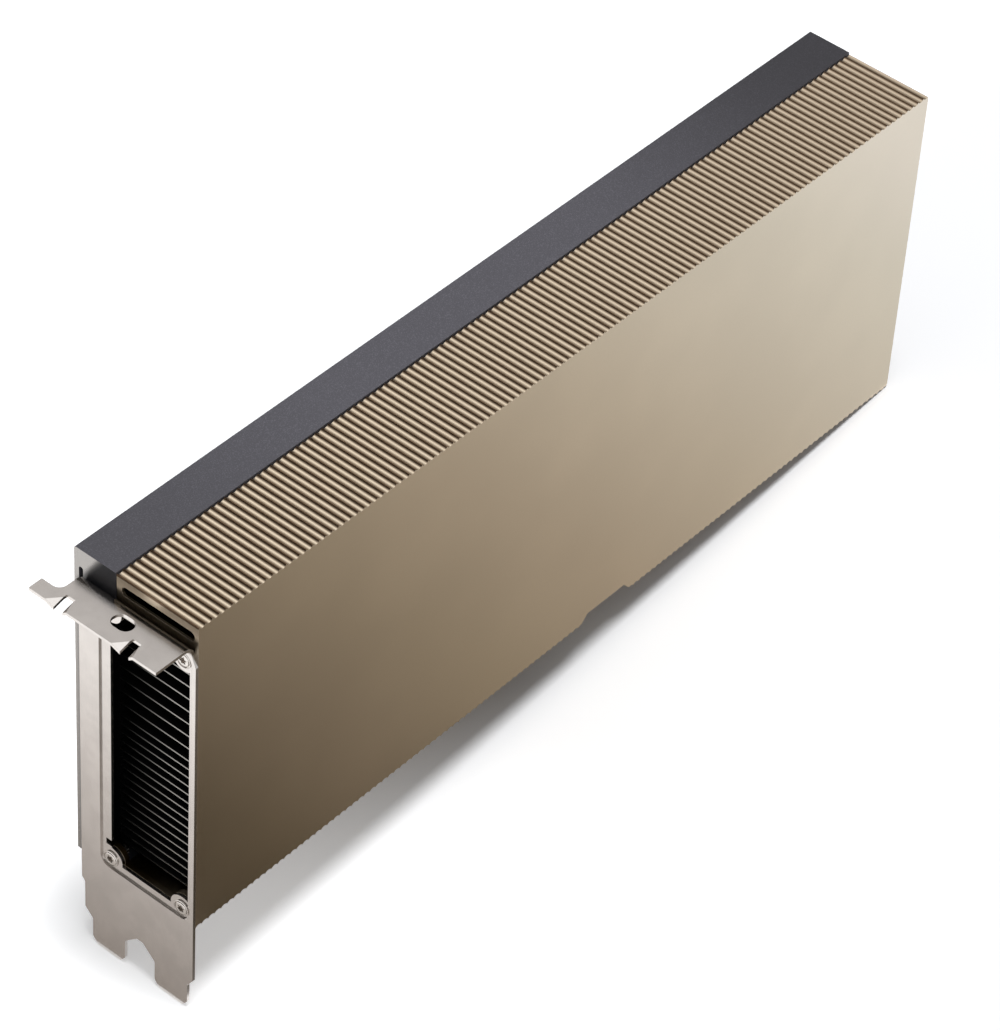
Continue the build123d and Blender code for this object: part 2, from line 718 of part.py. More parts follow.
def nodes():
    """Every sub-part by name: one solid, or a list of like solids."""
    choke_gap = base_gap + pocket_depth - choke_height
    return {
        "shroud": shroud(),
        "back_cover": back_cover(),
        "insulator_film": insulator_film(),
        "io_bracket": io_bracket(),
        "bracket_screws": bracket_screws(),
        "circuit_board": circuit_board(),
        "edge_contacts": edge_contacts(),
        "processor_carriers": [on_board(x, processor_z, carrier_size, carrier_size, carrier_height)
                               for x in processor_xs],
        "processor_dies": [on_board(x, processor_z, die_size, die_size, die_height, carrier_height)
                           for x in processor_xs],
        "thermal_compound": compound_pads(),
        "memory_chips": [on_board(x, z, memory_x, memory_z, memory_height) for x, z in memory_places()],
        "memory_pads": [on_board(x, z, memory_x, memory_z, base_gap - memory_height, memory_height)
                        for x, z in memory_places()],
        "bridge_chip": on_board(bridge_x, bridge_z, bridge_size, bridge_size, bridge_height),
        "bridge_pad": on_board(bridge_x, bridge_z, bridge_size, bridge_size, base_gap - bridge_height,
                               bridge_height),
        "supply_chokes": [on_board(x, z, choke_size, choke_size, choke_height) for x, z in choke_places()],
        "choke_pads": [on_board(x, z, choke_size, choke_size, choke_gap, choke_height)
                       for x, z in choke_places()],
        "power_stages": [on_board(x, z, stage_x, stage_z, stage_height) for x, z in stage_places()],
        "filter_capacitors": [on_board(x, z, filter_x, filter_z, filter_height) for x, z in filter_places()],
        "can_capacitors": can_capacitors(),
        "heatsink_base": heatsink_base(),
        "low_fins": [fin(z) for z in low_fin_zs],
        "high_fins": [fin(z) for z in high_fin_zs],
        "power_inlet": power_inlet(),
        "power_pins": power_pins(),
        "cover_screws": [cover_screw(x, z) for x, z in base_screw_places()],
        "casing_screws": [cover_screw(x, z) for x, z in post_places()],
    }


os.makedirs("parts", exist_ok=True)
for name, shape in nodes().items():
    shape = Compound(children=shape) if isinstance(shape, list) else shape
    export_step(shape, f"parts/{name}.step")
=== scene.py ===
from math import atan, cos, pi, radians, sin
import bpy
from mathutils import Matrix, Vector


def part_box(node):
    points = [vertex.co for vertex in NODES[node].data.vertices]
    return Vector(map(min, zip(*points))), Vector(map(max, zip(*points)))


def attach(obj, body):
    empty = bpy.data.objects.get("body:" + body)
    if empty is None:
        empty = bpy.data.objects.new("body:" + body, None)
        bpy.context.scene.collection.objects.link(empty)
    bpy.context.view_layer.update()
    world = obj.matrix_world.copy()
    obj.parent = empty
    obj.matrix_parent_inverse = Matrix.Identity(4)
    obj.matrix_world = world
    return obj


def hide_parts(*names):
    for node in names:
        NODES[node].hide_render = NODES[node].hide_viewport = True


bl_info = {
    "name": "Passive accelerator card",
    "version": (1, 0, 0),
    "blender": (4, 5, 0),
    "location": "3D View > Sidebar > Accelerator card",
    "description": "Finishes, screws and studio for a dual-slot accelerator card without a fan",
    "category": "Object",
}

# Everything is in metres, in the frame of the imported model: x runs from the bracket to the far
# end, y from the casing's front to the back cover, and z up, away from the edge tab.
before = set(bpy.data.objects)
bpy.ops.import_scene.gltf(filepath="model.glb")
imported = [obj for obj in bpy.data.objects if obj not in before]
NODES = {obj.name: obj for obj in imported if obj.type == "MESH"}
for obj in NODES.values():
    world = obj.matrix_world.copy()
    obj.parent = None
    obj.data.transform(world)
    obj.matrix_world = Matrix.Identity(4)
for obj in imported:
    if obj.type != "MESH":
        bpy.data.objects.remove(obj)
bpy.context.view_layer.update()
CASING_LOW, CASING_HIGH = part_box("shroud")
COVER_LOW, COVER_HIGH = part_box("back_cover")
BRACKET_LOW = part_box("io_bracket")[0]
MM = 0.001
WHITE, BLACK = (1.0, 1.0, 1.0), (0.0, 0.0, 0.0)


def linear(code):
    """Six hexadecimal digits of a screen colour, as the linear colour that shaders take."""
    shades = [int(code[i:i + 2], 16) / 255 for i in (0, 2, 4)]
    return tuple(v / 12.92 if v <= 0.04045 else ((v + 0.055) / 1.055) ** 2.4 for v in shades)


def shaded(tone, factor):
    """A linear colour made lighter or darker."""
    return tuple(min(1.0, c * factor) for c in tone)


def colour(name, description, code):
    """A colour that the user can change, with its default as hexadecimal digits."""
    return bpy.props.FloatVectorProperty(name=name, description=description, subtype="COLOR",
                                         size=3, min=0.0, max=1.0, default=linear(code))


def length(name, description, millimetres):
    """A size that the user can change, kept in metres."""
    return bpy.props.FloatProperty(name=name, description=description, unit="LENGTH",
                                   default=millimetres * MM, min=0.0, precision=5)


def share(name, description, default):
    """A number from nought to one that the user can change."""
    return bpy.props.FloatProperty(name=name, description=description, subtype="FACTOR",
                                   default=default, min=0.0, max=1.0)


def amount(name, description, default):
    """A plain number that the user can change."""
    return bpy.props.FloatProperty(name=name, description=description, default=default, min=0.0)


class Socket:
    """One value of a shader, for use in Python expressions."""

    def __init__(self, shader, link):
        self.shader, self.link = shader, link

    def math(self, operation, *others):
        """A Math node on this value and the others, in that order."""
        return self.shader.node("ShaderNodeMath", {"operation": operation},
                                dict(enumerate((self, *others))))

    def math_after(self, operation, first):
        """A Math node on a plain number and this value, in that order."""
        return self.shader.node("ShaderNodeMath", {"operation": operation}, {0: first, 1: self})

    def __add__(self, other):
        return self.math("ADD", other)

    def __mul__(self, other):
        return self.math("MULTIPLY", other)

    def __sub__(self, other):
        return self.math("SUBTRACT", other)

    def __rsub__(self, other):
        return self.math_after("SUBTRACT", other)

    def __truediv__(self, other):
        return self.math("DIVIDE", other)

    def __rtruediv__(self, other):
        return self.math_after("DIVIDE", other)

    def __abs__(self):
        return self.math("ABSOLUTE")

    def __gt__(self, other):
        return self.math("GREATER_THAN", other)

    def __lt__(self, other):
        return self.math("LESS_THAN", other)

    __radd__ = __add__
    __rmul__ = __mul__


class Shader:
    """The node tree of a material or of the world, built afresh."""

    def __init__(self, owner):
        owner.use_nodes = True
        self.tree = owner.node_tree
        self.tree.nodes.clear()

    def node(self, kind, settings=None, inputs=None, output=0):
        """Adds a node, its settings first and then its sockets' values or links: one output."""
        made = self.tree.nodes.new(kind)
        for name, value in (settings or {}).items():
            if name == "stops":
                ends = made.color_ramp.elements
                for end, (place, shade) in zip((ends[0], ends[1]), (value[0], value[-1])):
                    end.position, end.color = place, (*shade, 1.0)
                for place, shade in value[1:-1]:
                    ends.new(place).color = (*shade, 1.0)
            else:
                setattr(made, name, value)
        for name, value in (inputs or {}).items():
            if isinstance(value, Socket):
                self.tree.links.new(value.link, made.inputs[name])
            else:
                made.inputs[name].default_value = value
        return Socket(self, made.outputs[output]) if made.outputs else None

    def place(self):
        """The object's own coordinates, in metres."""
        return self.node("ShaderNodeTexCoord", output="Object")

    def split(self, vector):
        """The three numbers of a vector."""
        parts = self.node("ShaderNodeSeparateXYZ", None, {0: vector})
        return [Socket(self, parts.link.node.outputs[i]) for i in range(3)]

    def axes(self):
        """The object's own coordinates as three numbers."""
        return self.split(self.place())

    def facing(self):
        """The surface's own direction as three numbers."""
        return self.split(self.node("ShaderNodeNewGeometry", output="True Normal"))

    def seen(self):
        """One for camera, glossy and transmission rays, and nought for the light's own."""
        path = self.node("ShaderNodeLightPath")
        camera, glossy, through = [Socket(self, path.link.node.outputs[f"Is {ray} Ray"])
                                   for ray in ("Camera", "Glossy", "Transmission")]
        return camera + glossy + through

    def noise(self, size, detail=2.0, stretch=(1.0, 1.0, 1.0), rough=0.5):
        """Soft noise from nought to one whose lumps are about this wide, in metres."""
        where = self.node("ShaderNodeMapping", {"vector_type": "TEXTURE"},
                          {"Vector": self.place(), "Scale": [size * s for s in stretch]})
        return self.node("ShaderNodeTexNoise", None,
                         {"Vector": where, "Scale": 1.0, "Detail": detail, "Roughness": rough})

    def bricks(self, width, height, joint, offset):
        """One in the joints of bricks this wide and high in the card's plane, else nought."""
        x, _, z = self.axes()
        where = self.node("ShaderNodeCombineXYZ", None, {0: x / width, 1: z / height})
        return self.node("ShaderNodeTexBrick", {"offset": offset},
                         {"Vector": where, "Scale": 1.0, "Mortar Size": joint,
                          "Mortar Smooth": 0.1}, "Fac")

    def between(self, value, low, high, to_low=0.0, to_high=1.0):
        """The value taken from one range to another with soft ends."""
        return self.node("ShaderNodeMapRange", {"interpolation_type": "SMOOTHSTEP"},
                         {"Value": value, "From Min": low, "From Max": high,
                          "To Min": to_low, "To Max": to_high})

    def mix(self, factor, low, high):
        """Colour low where the factor is nought and high where it is one."""
        low, high = [(*c, 1.0) if isinstance(c, tuple) else c for c in (low, high)]
        return self.node("ShaderNodeMix", {"data_type": "RGBA"}, {0: factor, 6: low, 7: high}, 2)

    def bump(self, height, depth, strength=1.0, over=None):
        """Surface direction that a height from nought to one gives, for a depth in metres."""
        inputs = {"Height": height, "Distance": depth, "Strength": strength}
        if over is not None:
            inputs["Normal"] = over
        return self.node("ShaderNodeBump", None, inputs)

    def rounded(self, radius):
        """Surface direction with the edges rounded to this radius."""
        return self.node("ShaderNodeBevel", {"samples": 6}, {"Radius": radius})

    def surface(self, **inputs):
        """Closes the material with a Principled shader, its sockets named in small letters."""
        named = {name.replace("_", " ").title(): value for name, value in inputs.items()}
        body = self.node("ShaderNodeBsdfPrincipled", None, named)
        self.node("ShaderNodeOutputMaterial", None, {"Surface": body})


def material(name, build, *args):
    """A new material whose shader the given function builds, giving back its plain colour."""
    made = bpy.data.materials.new(name)
    made.diffuse_color = (*build(Shader(made), *args), 1.0)
    return made


def dress(node, made):
    """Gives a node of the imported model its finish."""
    slots = NODES[node].data.materials
    slots.clear()
    slots.append(made)


# Finishes

FLUTE_COUNT = 123
FLUTE_ZONE = 0.65 * MM  # depth below the casing's top, or above its bottom, that holds the flutes
INNER_WALL, INNER_END_WALL = 1.4 * MM, 0.7 * MM  # anything deeper is on the casing's inside
END_SKIN = 0.5 * MM  # depth from a near end that holds the whole of its face

# The share of a face's direction along an axis above which the face counts as looking there
SQUARE_ON, MOSTLY = 0.7, 0.5

# Painted shade on the strip along the cover's top: it darkens from and to these places along x,
# and from and to these shares
STRIP_FAR_SHADE = (0.16, 0.262, 0.0, 0.62)
STRIP_NEAR_SHADE = (0.0, 0.09, 0.3, 0.0)


def flute_flank_shade(shader, x, z):
    """Where the flutes take painted shade: one on their steep sides and nought on their crests."""
    pitch = (CASING_HIGH.x - CASING_LOW.x) / FLUTE_COUNT
    across = ((x - CASING_LOW.x) / pitch).math("FRACT")
    flank = shader.between(0.5 - across, 0.02, 0.4) + shader.between(across - 0.5, 0.1, 0.5)
    in_zone = (z > CASING_HIGH.z - FLUTE_ZONE) + (z < CASING_LOW.z + FLUTE_ZONE)
    return flank * ((abs(shader.facing()[1]) < MOSTLY) * in_zone)


def casing_inside_shade(x, y, z):
    """One on the inner faces of the casing's walls, which take painted shade."""
    return ((y > CASING_LOW.y + INNER_WALL) * (z > CASING_LOW.z + INNER_WALL)
            * (z < CASING_HIGH.z - INNER_WALL) * (x > CASING_LOW.x + INNER_END_WALL))


def inner_shade_depth(shader, y, z):
    """How much painted shade the casing's inside takes: nought near the vent's front, one deep in
    the casing, and high under its top.
    """
    inwards = shader.between(y, CASING_LOW.y + 3 * MM, CASING_LOW.y + 20 * MM)
    upwards = shader.between(z, CASING_HIGH.z - 16 * MM, CASING_HIGH.z - 9 * MM)
    return inwards + upwards


def near_end(shader, x, low):
    """One on the face that a casing part whose lowest corner is given turns to the bracket."""
    return (0 - shader.facing()[0] > SQUARE_ON) * (x < low.x + END_SKIN)


def casing_gold(shader, finish):
    """Fine blasted metal with a warm, faintly cloudy coat.

    The coat has painted shade on the flutes' flanks, deeper inside the casing and below the slot
    in the near end.
    """
    tone = tuple(finish.casing)
    grain = shader.noise(0.25 * MM, 3.0, rough=0.6)
    cloud = shader.noise(38 * MM, 2.0)
    shade = shader.mix(shader.between(cloud, 0.3, 0.7), shaded(tone, 0.97), shaded(tone, 1.03))
    shade = shader.mix(grain * 0.35, shade, shaded(tone, 0.84))
    x, y, z = shader.axes()
    # Painted shade on the steep sides of the flutes.
    shade = shader.mix(flute_flank_shade(shader, x, z), shade, tuple(finish.flute_flank_shade))
    # Painted shade inside the casing: 0.8 of the coat near the vent, fading to the dark inside
    # colour deeper in.
    inner = shader.mix(inner_shade_depth(shader, y, z), shaded(tone, 0.8), tuple(finish.casing_inside_shade))
    shade = shader.mix(casing_inside_shade(x, y, z), shade, inner)
    # Painted shade on the near end's face below the slot.
    below_slot_shade = near_end(shader, x, CASING_LOW) * shader.between(CASING_HIGH.z - z,
                                                                  3.2 * MM, 5.0 * MM)
    shade = shader.mix(below_slot_shade * 0.8, shade, shaded(tone, 0.12))
    normal = shader.bump(grain, finish.casing_grain, 1.0, shader.rounded(finish.casing_edge))
    shader.surface(base_color=shade, metallic=1.0, normal=normal,
                   roughness=finish.casing_roughness + grain * 0.08 + cloud * 0.03)
    return tone


def cover_coat(shader, finish):
    """Dark fine-grained coat, with painted shade towards both ends of the strip on top.

    The near end's coat has deeper painted shade, and bare metal from part of the way out from the
    seam.
    """
    tone, bare = tuple(finish.cover), tuple(finish.cover_end)
    grain = shader.noise(0.3 * MM, 2.0, rough=0.75)
    cloud = shader.noise(30 * MM, 2.0)
    speck = shader.between(grain, 0.5, 0.68)
    coat = shader.mix(speck, shaded(tone, 0.82), shaded(tone, 1.5))
    coat = shader.mix(cloud * 0.3, coat, shaded(tone, 0.8))
    x, y, z = shader.axes()
    end_face = near_end(shader, x, COVER_LOW)
    # Painted shade over the near end's coat.
    coat = shader.mix(end_face * 0.8, coat, shaded(tone, 0.08))
    # Painted shade on the top face towards both ends of the strip.
    strip = shader.between(x, *STRIP_FAR_SHADE) + shader.between(x, *STRIP_NEAR_SHADE)
    coat = shader.mix((shader.facing()[2] > SQUARE_ON) * strip, coat, shaded(tone, 0.1))

    # The lower down the end, the further out from the seam its bare patch starts.
    from_seam = (y - COVER_LOW.y) / (COVER_HIGH.y - COVER_LOW.y)
    lean = ((COVER_HIGH.z - z) * 55).math("MINIMUM", 0.5)
    patch = end_face * shader.between(from_seam - lean, 0.27, 0.5)
    rolled = shader.noise(0.5 * MM, 2.0, (1.0, 0.25, 6.0))
    metal = shader.mix(rolled, shaded(bare, 0.9), bare)
    smoother = finish.cover_end_roughness - finish.cover_roughness
    shader.surface(base_color=shader.mix(patch, coat, metal), metallic=patch,
                   roughness=patch * smoother + finish.cover_roughness + speck * 0.05,
                   normal=shader.bump(grain, finish.cover_grain, 0.8))
    return tone


def plated_sheet(shader, finish):
    """Dull nickel plating over rolled steel, faintly mottled."""
    tone = tuple(finish.bracket)
    cloud = shader.noise(7 * MM, 4.0, rough=0.6)
    grain = shader.noise(0.3 * MM, 2.0)
    rolled = shader.noise(0.6 * MM, 3.0, (1.0, 1.0, 14.0))
    shade = shader.mix(shader.between(cloud, 0.35, 0.65), shaded(tone, 0.95), shaded(tone, 1.02))
    shade = shader.mix(rolled * 0.3, shade, shaded(tone, 0.9))
    normal = shader.bump(grain * 0.6 + rolled * 0.4, 0.0025 * MM, 1.0,
                         shader.rounded(finish.bracket_edge))
    shader.surface(base_color=shade, metallic=1.0, normal=normal,
                   roughness=finish.bracket_roughness + cloud * 0.07 + grain * 0.05)
    return tone


def screw_steel(shader, finish):
    """Bright plated steel, faintly clouded, with fine turning marks."""
    tone = tuple(finish.screws)
    turned = shader.noise(0.12 * MM, 2.0)
    cloud = shader.noise(1.5 * MM, 3.0)
    shader.surface(base_color=shader.mix(cloud, shaded(tone, 0.86), tone), metallic=1.0,
                   roughness=finish.screw_roughness + turned * 0.08,
                   normal=shader.bump(turned, 0.002 * MM))
    return tone


def fin_sheet(shader, finish):
    """Thin blackened sheet whose cut edges are bare, with painted shade on them deeper in the
    casing.
    """
    tone, bare = tuple(finish.fin_faces), tuple(finish.fin_edges)
    cut = 1 - (abs(shader.facing()[2]) > MOSTLY)
    rolled = shader.noise(0.4 * MM, 3.0, (30.0, 1.0, 1.0))
    clean = shader.mix(rolled, shaded(bare, 0.85), bare)
    # Painted shade on the cut edges, darker deeper in the casing.
    deep_shade = shader.between(shader.axes()[1], CASING_LOW.y + 9 * MM, CASING_LOW.y + 23 * MM)
    shade = shader.mix(cut, shader.mix(rolled, shaded(tone, 0.7), tone),
                       shader.mix(deep_shade, clean, shaded(bare, 0.15)))
    shader.surface(base_color=shade, metallic=cut, roughness=0.35 + rolled * 0.15,
                   normal=shader.bump(rolled, 0.002 * MM))
    return tone


def milled_black(shader, finish):
    """Blackened aluminium block with fine milling marks."""
    tone = tuple(finish.heatsink)
    marks = shader.noise(0.35 * MM, 2.0, (1.0, 1.0, 18.0))
    cloud = shader.noise(20 * MM, 2.0)
    shade = shader.mix(marks * 0.5 + cloud * 0.3, tone, shaded(tone, 1.6))
    shader.surface(base_color=shade, metallic=0.8, roughness=0.38 + marks * 0.12,
                   normal=shader.bump(marks, 0.004 * MM))
    return tone


def solder_mask(shader, finish):
    """Dark lacquer over copper tracks that stand a little proud of the glass cloth."""
    tone = tuple(finish.board)
    gaps = shader.bricks(46 * MM, 1.4 * MM, 0.22, 0.5)
    cloth = shader.noise(0.4 * MM, 1.0)
    shade = shader.mix(gaps * 0.8, shaded(tone, 1.7), tone)
    shade = shader.mix(cloth * 0.3, shade, shaded(tone, 0.6))
    shader.surface(base_color=shade, roughness=0.3 + cloth * 0.12,
                   normal=shader.bump(cloth * 0.2 + (1 - gaps), 0.025 * MM, 0.6))
    return tone


def contact_gold(shader, finish):
    """Hard gold plating with fine wiping marks along the contact."""
    tone = tuple(finish.contacts)
    wipe = shader.noise(0.08 * MM, 3.0, (1.0, 1.0, 25.0))
    shader.surface(base_color=shader.mix(wipe * 0.5, tone, shaded(tone, 0.75)), metallic=1.0,
                   roughness=0.22 + wipe * 0.14, normal=shader.bump(wipe, 0.002 * MM))
    return tone


def moulded(shader, tone, roughness, grain, depth):
    """Moulded, cast or blackened stuff: an even colour with fine grain and faint clouds."""
    lumps = shader.noise(grain, 3.0, rough=0.6)
    cloud = shader.noise(grain * 40, 2.0)
    shade = shader.mix(lumps * 0.5, shaded(tone, 1.12), shaded(tone, 0.8))
    shade = shader.mix(cloud * 0.3, shade, shaded(tone, 1.25))
    shader.surface(base_color=shade, roughness=roughness + lumps * 0.12,
                   normal=shader.bump(lumps, depth))
    return tone


def bright_metal(shader, tone, roughness, stretch, depth):
    """Bare or tinned metal with fine marks along one axis."""
    marks = shader.noise(0.1 * MM, 3.0, stretch)
    shader.surface(base_color=shader.mix(marks * 0.6, tone, shaded(tone, 0.78)), metallic=1.0,
                   roughness=roughness + marks * 0.12, normal=shader.bump(marks, depth))
    return tone


def polished_silicon(shader, tone):
    """Bare silicon: a dark mirror with a faint grid under its polish."""
    grid = shader.bricks(1.7 * MM, 1.1 * MM, 0.04, 0.0)
    fine = shader.noise(0.3 * MM)
    shader.surface(base_color=shader.mix(grid * 0.5, tone, shaded(tone, 1.7)), metallic=0.7,
                   roughness=0.08 + fine * 0.06, normal=shader.bump(grid, 0.001 * MM))
    return tone


# Shapes

BRACKET_SCREW_RADIUS = 2.3 * MM
SCREW_SEGMENTS = 96
DRIVE_LOBES = 6
FIRST_TURN, TURN_STEP = 0.4, 0.9  # each drive stopped at another angle, in radians
SCREW_CREASE = radians(32)

# The head's profile from the drive's rim outwards, as shares of its radius and of its height
# down from the top: the domed middle, a narrow channel round it, and the outer rim.
HEAD_PROFILE = [(0.60, 0.0), (0.68, 0.04), (0.74, 0.14), (0.78, 0.30), (0.80, 0.80), (0.845, 0.80),
                (0.86, 0.30), (0.88, 0.22), (0.95, 0.24), (0.985, 0.34), (1.0, 0.55), (1.0, 1.0)]


def mesh_object(name, verts, faces, smooth_below=None):
    """A new object in the scene, shaded smooth where its faces meet at less than an angle."""
    mesh = bpy.data.meshes.new(name)
    mesh.from_pydata(verts, [], faces)
    mesh.validate()
    made = bpy.data.objects.new(name, mesh)
    bpy.context.scene.collection.objects.link(made)
    if smooth_below is not None:
        mesh.shade_smooth()
        mesh.set_sharp_from_angle(angle=smooth_below)
    return made


def closed_skin(rings):
    """Vertices and faces of a skin over rings of points, closed at the first and last ring."""
    count = len(rings[0])
    verts = [point for ring in rings for point in ring]
    last = len(verts) - count
    faces = []
    for start in range(0, last, count):
        for j in range(count):
            k = (j + 1) % count
            faces.append((start + j, start + k, start + count + k, start + count + j))
    faces.append(tuple(reversed(range(count))))
    faces.append(tuple(range(last, last + count)))
    return verts, faces


def screw_rings(sizes, turn):
    """Rings of one domed screw along +X, from the floor of its drive out and down to its point."""
    angles = [2 * pi * j / SCREW_SEGMENTS for j in range(SCREW_SEGMENTS)]
    lobes = [sizes.drive_radius * (1 + sizes.lobe_depth * cos(DRIVE_LOBES * (a + turn)))
             for a in angles]

    def ring(radii, x):
        return [(x, r * cos(a), r * sin(a)) for r, a in zip(radii, angles)]

    def drive(scale, x):
        return ring([r * scale for r in lobes], x)

    def circle(radius, x):
        return ring([radius] * SCREW_SEGMENTS, x)

    floor, height, shank = sizes.drive_depth, sizes.head_height, sizes.shank_radius
    point = height + sizes.shank_length
    return [drive(0.5, floor), drive(0.95, floor * 0.96), drive(0.99, 0.06 * height),
            drive(1.05, 0.0),
            *(circle(sizes.head_radius * out, height * down) for out, down in HEAD_PROFILE),
            circle(shank, height), circle(shank, point - shank * 0.3), circle(shank * 0.7, point)]


def bracket_screw_centres():
    """Centres (y, z) of the bracket's four screws, from the box round their heads."""
    low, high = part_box("bracket_screws")
    reach = BRACKET_SCREW_RADIUS
    return [(y, z) for y in (low.y + reach, high.y - reach)
            for z in (low.z + reach, high.z - reach)]


# Settings


class CardFinish(bpy.types.PropertyGroup):
    """Colours and surface of the card's parts."""

    casing: colour("Casing", "Warm coat of the fluted casing", "e4d4bc")
    casing_roughness: share("Casing roughness", "How dull the casing is", 0.29)
    casing_grain: length("Casing grain", "Depth of the casing's blasted grain", 0.004)
    casing_edge: length("Casing edge", "Radius that the casing's edges show", 0.09)
    # Colour of the painted shade on the steep sides of the flutes.
    flute_flank_shade: colour("Flute flanks", "Darker coat on the steep sides of the flutes", "826a55")
    # Colour of the painted shade deep inside the casing.
    casing_inside_shade: colour("Casing inside", "Darker coat deep inside the casing", "6a5735")
    cover: colour("Cover", "Dark coat of the back cover", "58575e")
    cover_roughness: share("Cover roughness", "How dull the cover's coat is", 0.5)
    cover_grain: length("Cover grain", "Depth of the cover's grain", 0.03)
    cover_end: colour("Cover end", "Bare metal on the cover's near end", "aba8a5")
    cover_end_roughness: share("Cover end roughness", "How dull the bare end is", 0.22)
    bracket: colour("Bracket", "Plating of the bracket", "dcd7d3")
    bracket_roughness: share("Bracket roughness", "How dull the plating is", 0.17)
    bracket_edge: length("Bracket edge", "Radius that the bracket's edges show", 0.06)
    screws: colour("Screws", "Plating of the bracket's screws", "e2ddd8")
    screw_roughness: share("Screw roughness", "How dull the screws are", 0.16)
    fin_faces: colour("Fin faces", "Blackened faces of the fins", "141416")
    fin_edges: colour("Fin edges", "Bare cut edges of the fins", "b4b2ae")
    heatsink: colour("Heat sink", "Blackened base of the fins", "161618")
    board: colour("Board", "Lacquer of the circuit board", "0b1a12")
    contacts: colour("Contacts", "Plating of the edge contacts", "e8c46a")


class ScrewSizes(bpy.types.PropertyGroup):
    """Sizes of the domed screws in the bracket."""

    head_radius: length("Head radius", "Radius of the head", 2.3)
    head_height: length("Head height", "Height of the head above its seat", 0.5)
    drive_radius: length("Drive radius", "Middle radius of the six-lobe drive", 0.9)
    lobe_depth: share("Lobe depth", "How far the lobes stand from the drive's middle radius", 0.22)
    drive_depth: length("Drive depth", "Depth of the drive below the head's top", 1.1)
    shank_radius: length("Shank radius", "Radius of the shank", 1.45)
    shank_length: length("Shank length", "Length of the shank", 5.0)


class StudioLook(bpy.types.PropertyGroup):
    """Floor, lamp and sky of the studio."""

    floor: colour("Floor", "Paint of the floor", "fafbfd")
    # Painted light that lightens the card's shadow on the floor, strongest at the bracket.
    floor_glow: share("Floor glow", "White that the camera and reflections add to the floor at"
                      " the bracket", 0.33)
    floor_glow_far: share("Floor glow further on", "The same from the middle of the card onwards",
                          0.0)
    sun_power: amount("Lamp power", "Strength of the large lamp overhead", 2.4)
    sun_angle: bpy.props.FloatProperty(name="Lamp softness", subtype="ANGLE", min=0.0,
                                       description="Angle that the lamp fills",
                                       default=radians(20))
    sky_power: amount("Sky power", "Strength of the plain sky that lights the object", 0.3)


# Operators


class CARD_OT_casing(bpy.types.Operator):
    """Gives the casing and the back cover their coats"""

    bl_idname = "card.casing"
    bl_label = "Casing and cover"

    def execute(self, context):
        finish = context.scene.card_finish
        dress("shroud", material("casing_gold", casing_gold, finish))
        dress("back_cover", material("cover_coat", cover_coat, finish))
        return {"FINISHED"}


class CARD_OT_bracket(bpy.types.Operator):
    """Gives the bracket its plating"""

    bl_idname = "card.bracket"
    bl_label = "Bracket"

    def execute(self, context):
        dress("io_bracket", material("bracket_plating", plated_sheet, context.scene.card_finish))
        return {"FINISHED"}


class CARD_OT_screws(bpy.types.Operator):
    """Makes the domed screws with six-lobe drives in the bracket's ears"""

    bl_idname = "card.screws"
    bl_label = "Bracket screws"

    def execute(self, context):
        sizes = context.scene.card_screws
        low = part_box("bracket_screws")[0]
        verts, faces = [], []
        for n, (y, z) in enumerate(bracket_screw_centres()):
            screw_verts, screw_faces = closed_skin(screw_rings(sizes, FIRST_TURN + TURN_STEP * n))
            start = len(verts)
            verts += [(low.x + px, y + py, z + pz) for px, py, pz in screw_verts]
            faces += [tuple(start + i for i in face) for face in screw_faces]
        piece = mesh_object("domed_bracket_screws", verts, faces, SCREW_CREASE)
        steel = material("screw_steel", screw_steel, context.scene.card_finish)
        piece.data.materials.append(steel)
        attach(piece, "root")
        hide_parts("bracket_screws")
        return {"FINISHED"}


class CARD_OT_cooling(bpy.types.Operator):
    """Gives the fins and the base of the heat sink their finish"""

    bl_idname = "card.cooling"
    bl_label = "Heat sink"

    def execute(self, context):
        finish = context.scene.card_finish
        sheet = material("fin_sheet", fin_sheet, finish)
        dress("low_fins", sheet)
        dress("high_fins", sheet)
        dress("heatsink_base", material("milled_black", milled_black, finish))
        return {"FINISHED"}


# Each moulded finish: its nodes, colour and roughness, and its grain's width and depth in
# millimetres
MOULDED_FINISHES = {
    "film_plastic": (("insulator_film",), "141414", 0.45, 0.3, 0.004),
    "carrier_laminate": (("processor_carriers",), "1d4a30", 0.4, 0.25, 0.006),
    "heat_compound": (("thermal_compound",), "9b9da1", 0.55, 0.2, 0.02),
    "chip_mould": (("memory_chips", "bridge_chip", "power_stages"), "1c1c1e", 0.45, 0.12, 0.006),
    "pad_rubber": (("memory_pads", "bridge_pad", "choke_pads"), "8592a2", 0.7, 0.3, 0.02),
    "choke_ferrite": (("supply_chokes",), "434346", 0.6, 0.2, 0.015),
    "capacitor_mould": (("filter_capacitors",), "b08a2c", 0.5, 0.15, 0.008),
    "inlet_plastic": (("power_inlet",), "161616", 0.4, 0.18, 0.006),
    "black_screw": (("cover_screws", "casing_screws"), "1b1b1c", 0.32, 0.15, 0.005),
}
MARKS_ALONG_X, MARKS_ALONG_Y = (20.0, 1.0, 1.0), (1.0, 20.0, 1.0)


